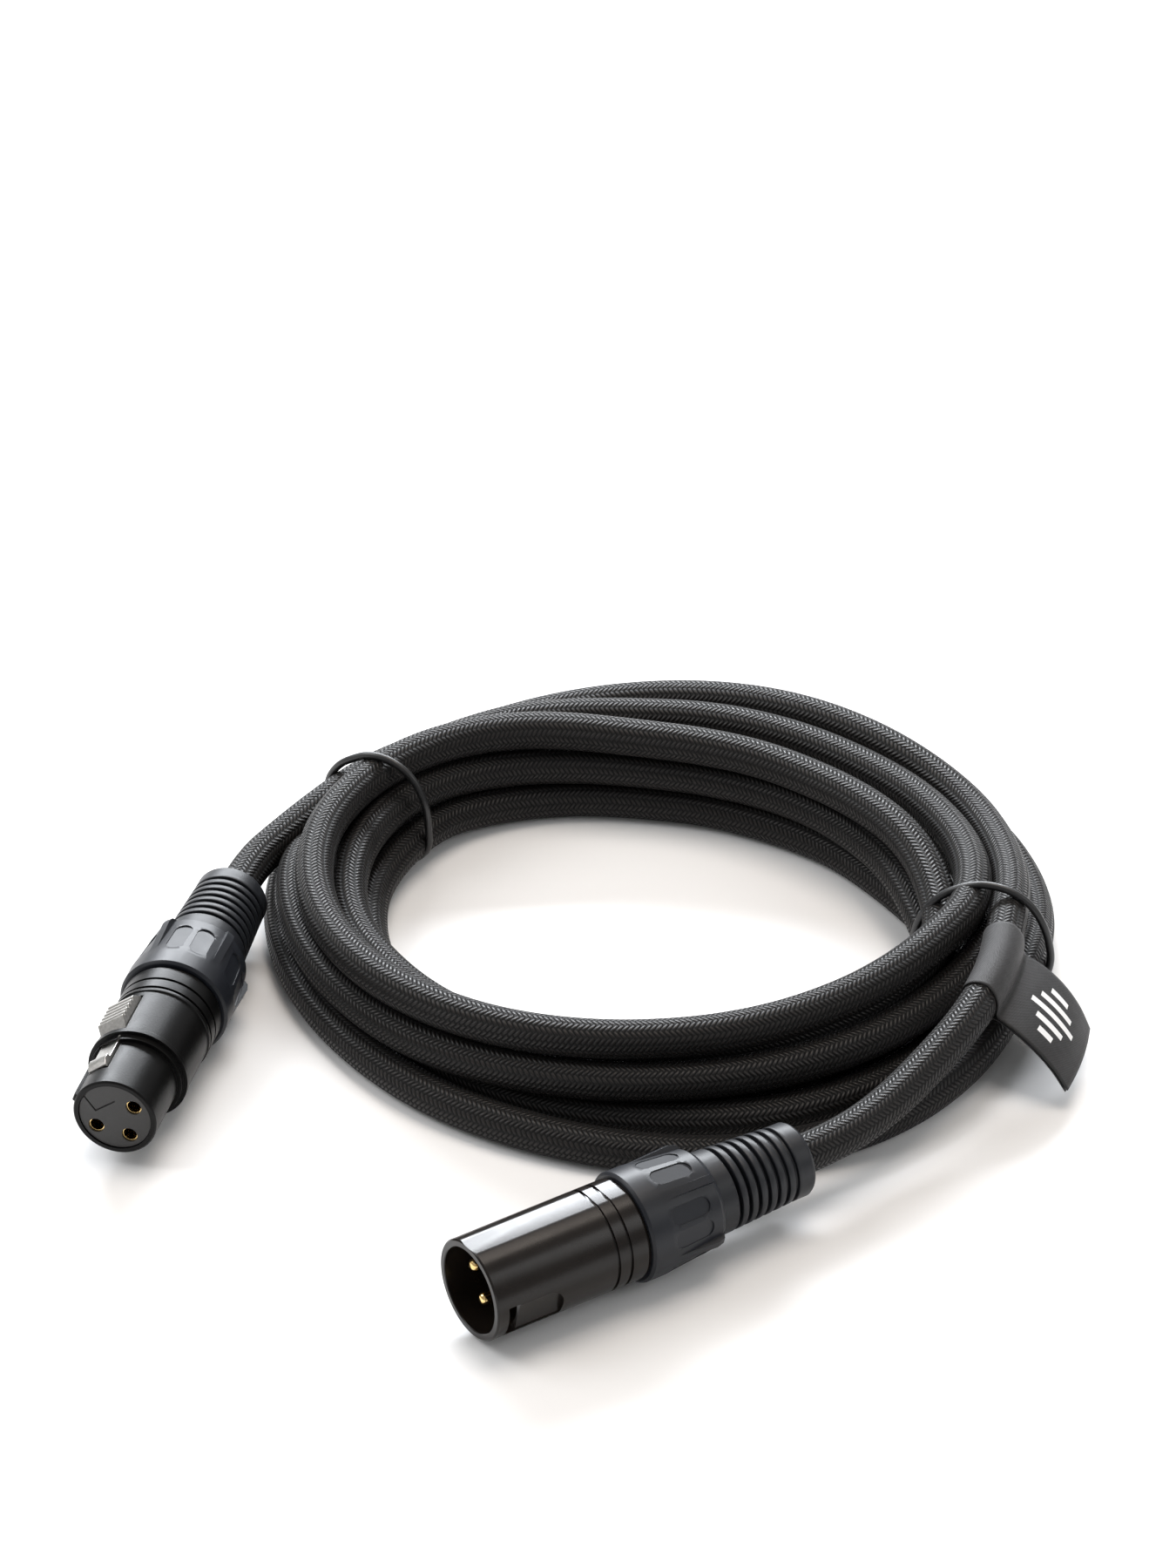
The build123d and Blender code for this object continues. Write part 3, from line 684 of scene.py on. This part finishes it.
def add_studio():
    """Pale floor, even white surroundings and four soft lights."""
    size = 3.0
    corners = [(-size, -size, 0), (size, -size, 0), (size, size, 0), (-size, size, 0)]
    floor = mesh_object("floor", corners, [(0, 1, 2, 3)], smooth=False)
    n = Nodes("floor")
    floor_tones = [(0.3, (0.86, 0.86, 0.86)), (0.7, (0.88, 0.88, 0.88))]
    n.feed("Base Color", n.ramp(n.noise(4.0), floor_tones))
    n.set(Roughness=0.9, Specular_IOR_Level=0.1)
    floor.data.materials.append(n.material)
    world = bpy.data.worlds.new("studio")
    world.use_nodes = True
    world.node_tree.nodes["Background"].inputs[0].default_value = (1, 1, 1, 1)
    world.node_tree.nodes["Background"].inputs[1].default_value = 0.4
    bpy.context.scene.world = world
    cool = (0.92, 0.955, 1.0)
    warm = (1.0, 0.9, 0.81)
    add_light("back_strip", (1.1, 0.16), (-0.1, 0.95, 0.6), 29.0, cool)
    add_light("key_left", (0.6, 0.6), (-0.9, 0.1, 0.8), 6.0)
    add_light("fill_right", (0.5, 0.5), (0.9, -0.3, 0.7), 2.0)
    add_light("top_warm", (0.7, 0.5), (0.1, 0.15, 1.1), 6.0, warm)
    scene = bpy.context.scene
    scene.view_settings.view_transform = "Standard"
    scene.view_settings.look = "None"


# ---------------------------------------------------------------- assembly
add_camera()
route = cord_route()
cable = build_cable(route)

rubber = plastic_material(
    "tie_rubber", (0.007, 0.007, 0.0075), (0.011, 0.011, 0.012), 0.38, 0.2, 3000.0
)
for tie_name, (tie_angle, tie_outline) in tie_rings.items():
    build_tie(tie_name, tie_angle, tie_outline, rubber)
build_label(route)

# Plastics and rubbers: darker and lighter tone, roughness, grain strength, grain scale, specular
plastics = {
    "gloss_black_shell": ((0.0075, 0.0055, 0.0045), (0.0105, 0.008, 0.0065), 0.24, 0.05, 900.0, 0.26),
    "satin_black_shell": ((0.002, 0.0019, 0.0019), (0.0032, 0.003, 0.003), 0.36, 0.6, 2600.0, 0.16),
    "dark_insert": ((0.017, 0.016, 0.0155), (0.022, 0.021, 0.0205), 0.5, 0.3, 2200.0, 0.5),
    "nut_plastic": ((0.008, 0.0092, 0.0125), (0.0115, 0.0132, 0.0178), 0.4, 0.25, 1800.0, 0.3),
    "boot_rubber": ((0.0078, 0.0088, 0.0115), (0.0108, 0.0121, 0.0155), 0.44, 0.3, 1500.0, 0.32),
    "chuck_plastic": ((0.5, 0.5, 0.47), (0.56, 0.56, 0.53), 0.5, 0.2, 1500.0, 0.5),
    "hot_insulation": ((0.5, 0.06, 0.05), (0.6, 0.09, 0.07), 0.45, 0.2, 1500.0, 0.5),
    "cold_insulation": ((0.6, 0.6, 0.6), (0.7, 0.7, 0.7), 0.45, 0.2, 1500.0, 0.5),
}
# Metals: darker and lighter tone, roughness
metals = {
    "latch_metal": ((0.40, 0.39, 0.37), (0.52, 0.51, 0.49), 0.34),
    "contact_gold": ((0.80, 0.55, 0.22), (0.92, 0.68, 0.32), 0.18),
    "tinned_braid": ((0.5, 0.5, 0.48), (0.62, 0.62, 0.6), 0.35),
}
finishes = {name: plastic_material(name, *look) for name, look in plastics.items()}
finishes.update({name: metal_material(name, *look) for name, look in metals.items()})
finishes["cable_braid"] = cable.data.materials[0]

# Width of the rounded edges
edge_softness = {
    "gloss_black_shell": 0.12 * MM,
    "satin_black_shell": 0.12 * MM,
    "dark_insert": 0.08 * MM,
    "nut_plastic": 0.25 * MM,
    "boot_rubber": 0.22 * MM,
    "latch_metal": 0.1 * MM,
    "contact_gold": 0.06 * MM,
}
slots = {part["node"]: part["material_slot"] for part in frame["record"]["subparts"]}
replaced = {"cable_coil", "plug_lead", "socket_lead", "tie_right", "tie_left", "label"}
finished = {}
for node, slot in slots.items():
    if node in replaced:
        continue
    if slot in edge_softness:
        bevel = spring_edge if node == "latch_spring" else edge_softness[slot]
        finished[node] = softened(node, bevel, finishes[slot])
    else:
        nodes[node].data.materials.clear()
        nodes[node].data.materials.append(finishes[slot])

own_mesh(finished["latch_spring"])
socket_pieces = [piece for node, piece in finished.items() if node.startswith("socket_")]
socket_pieces.append(finished["latch_lever"])
add_studio()
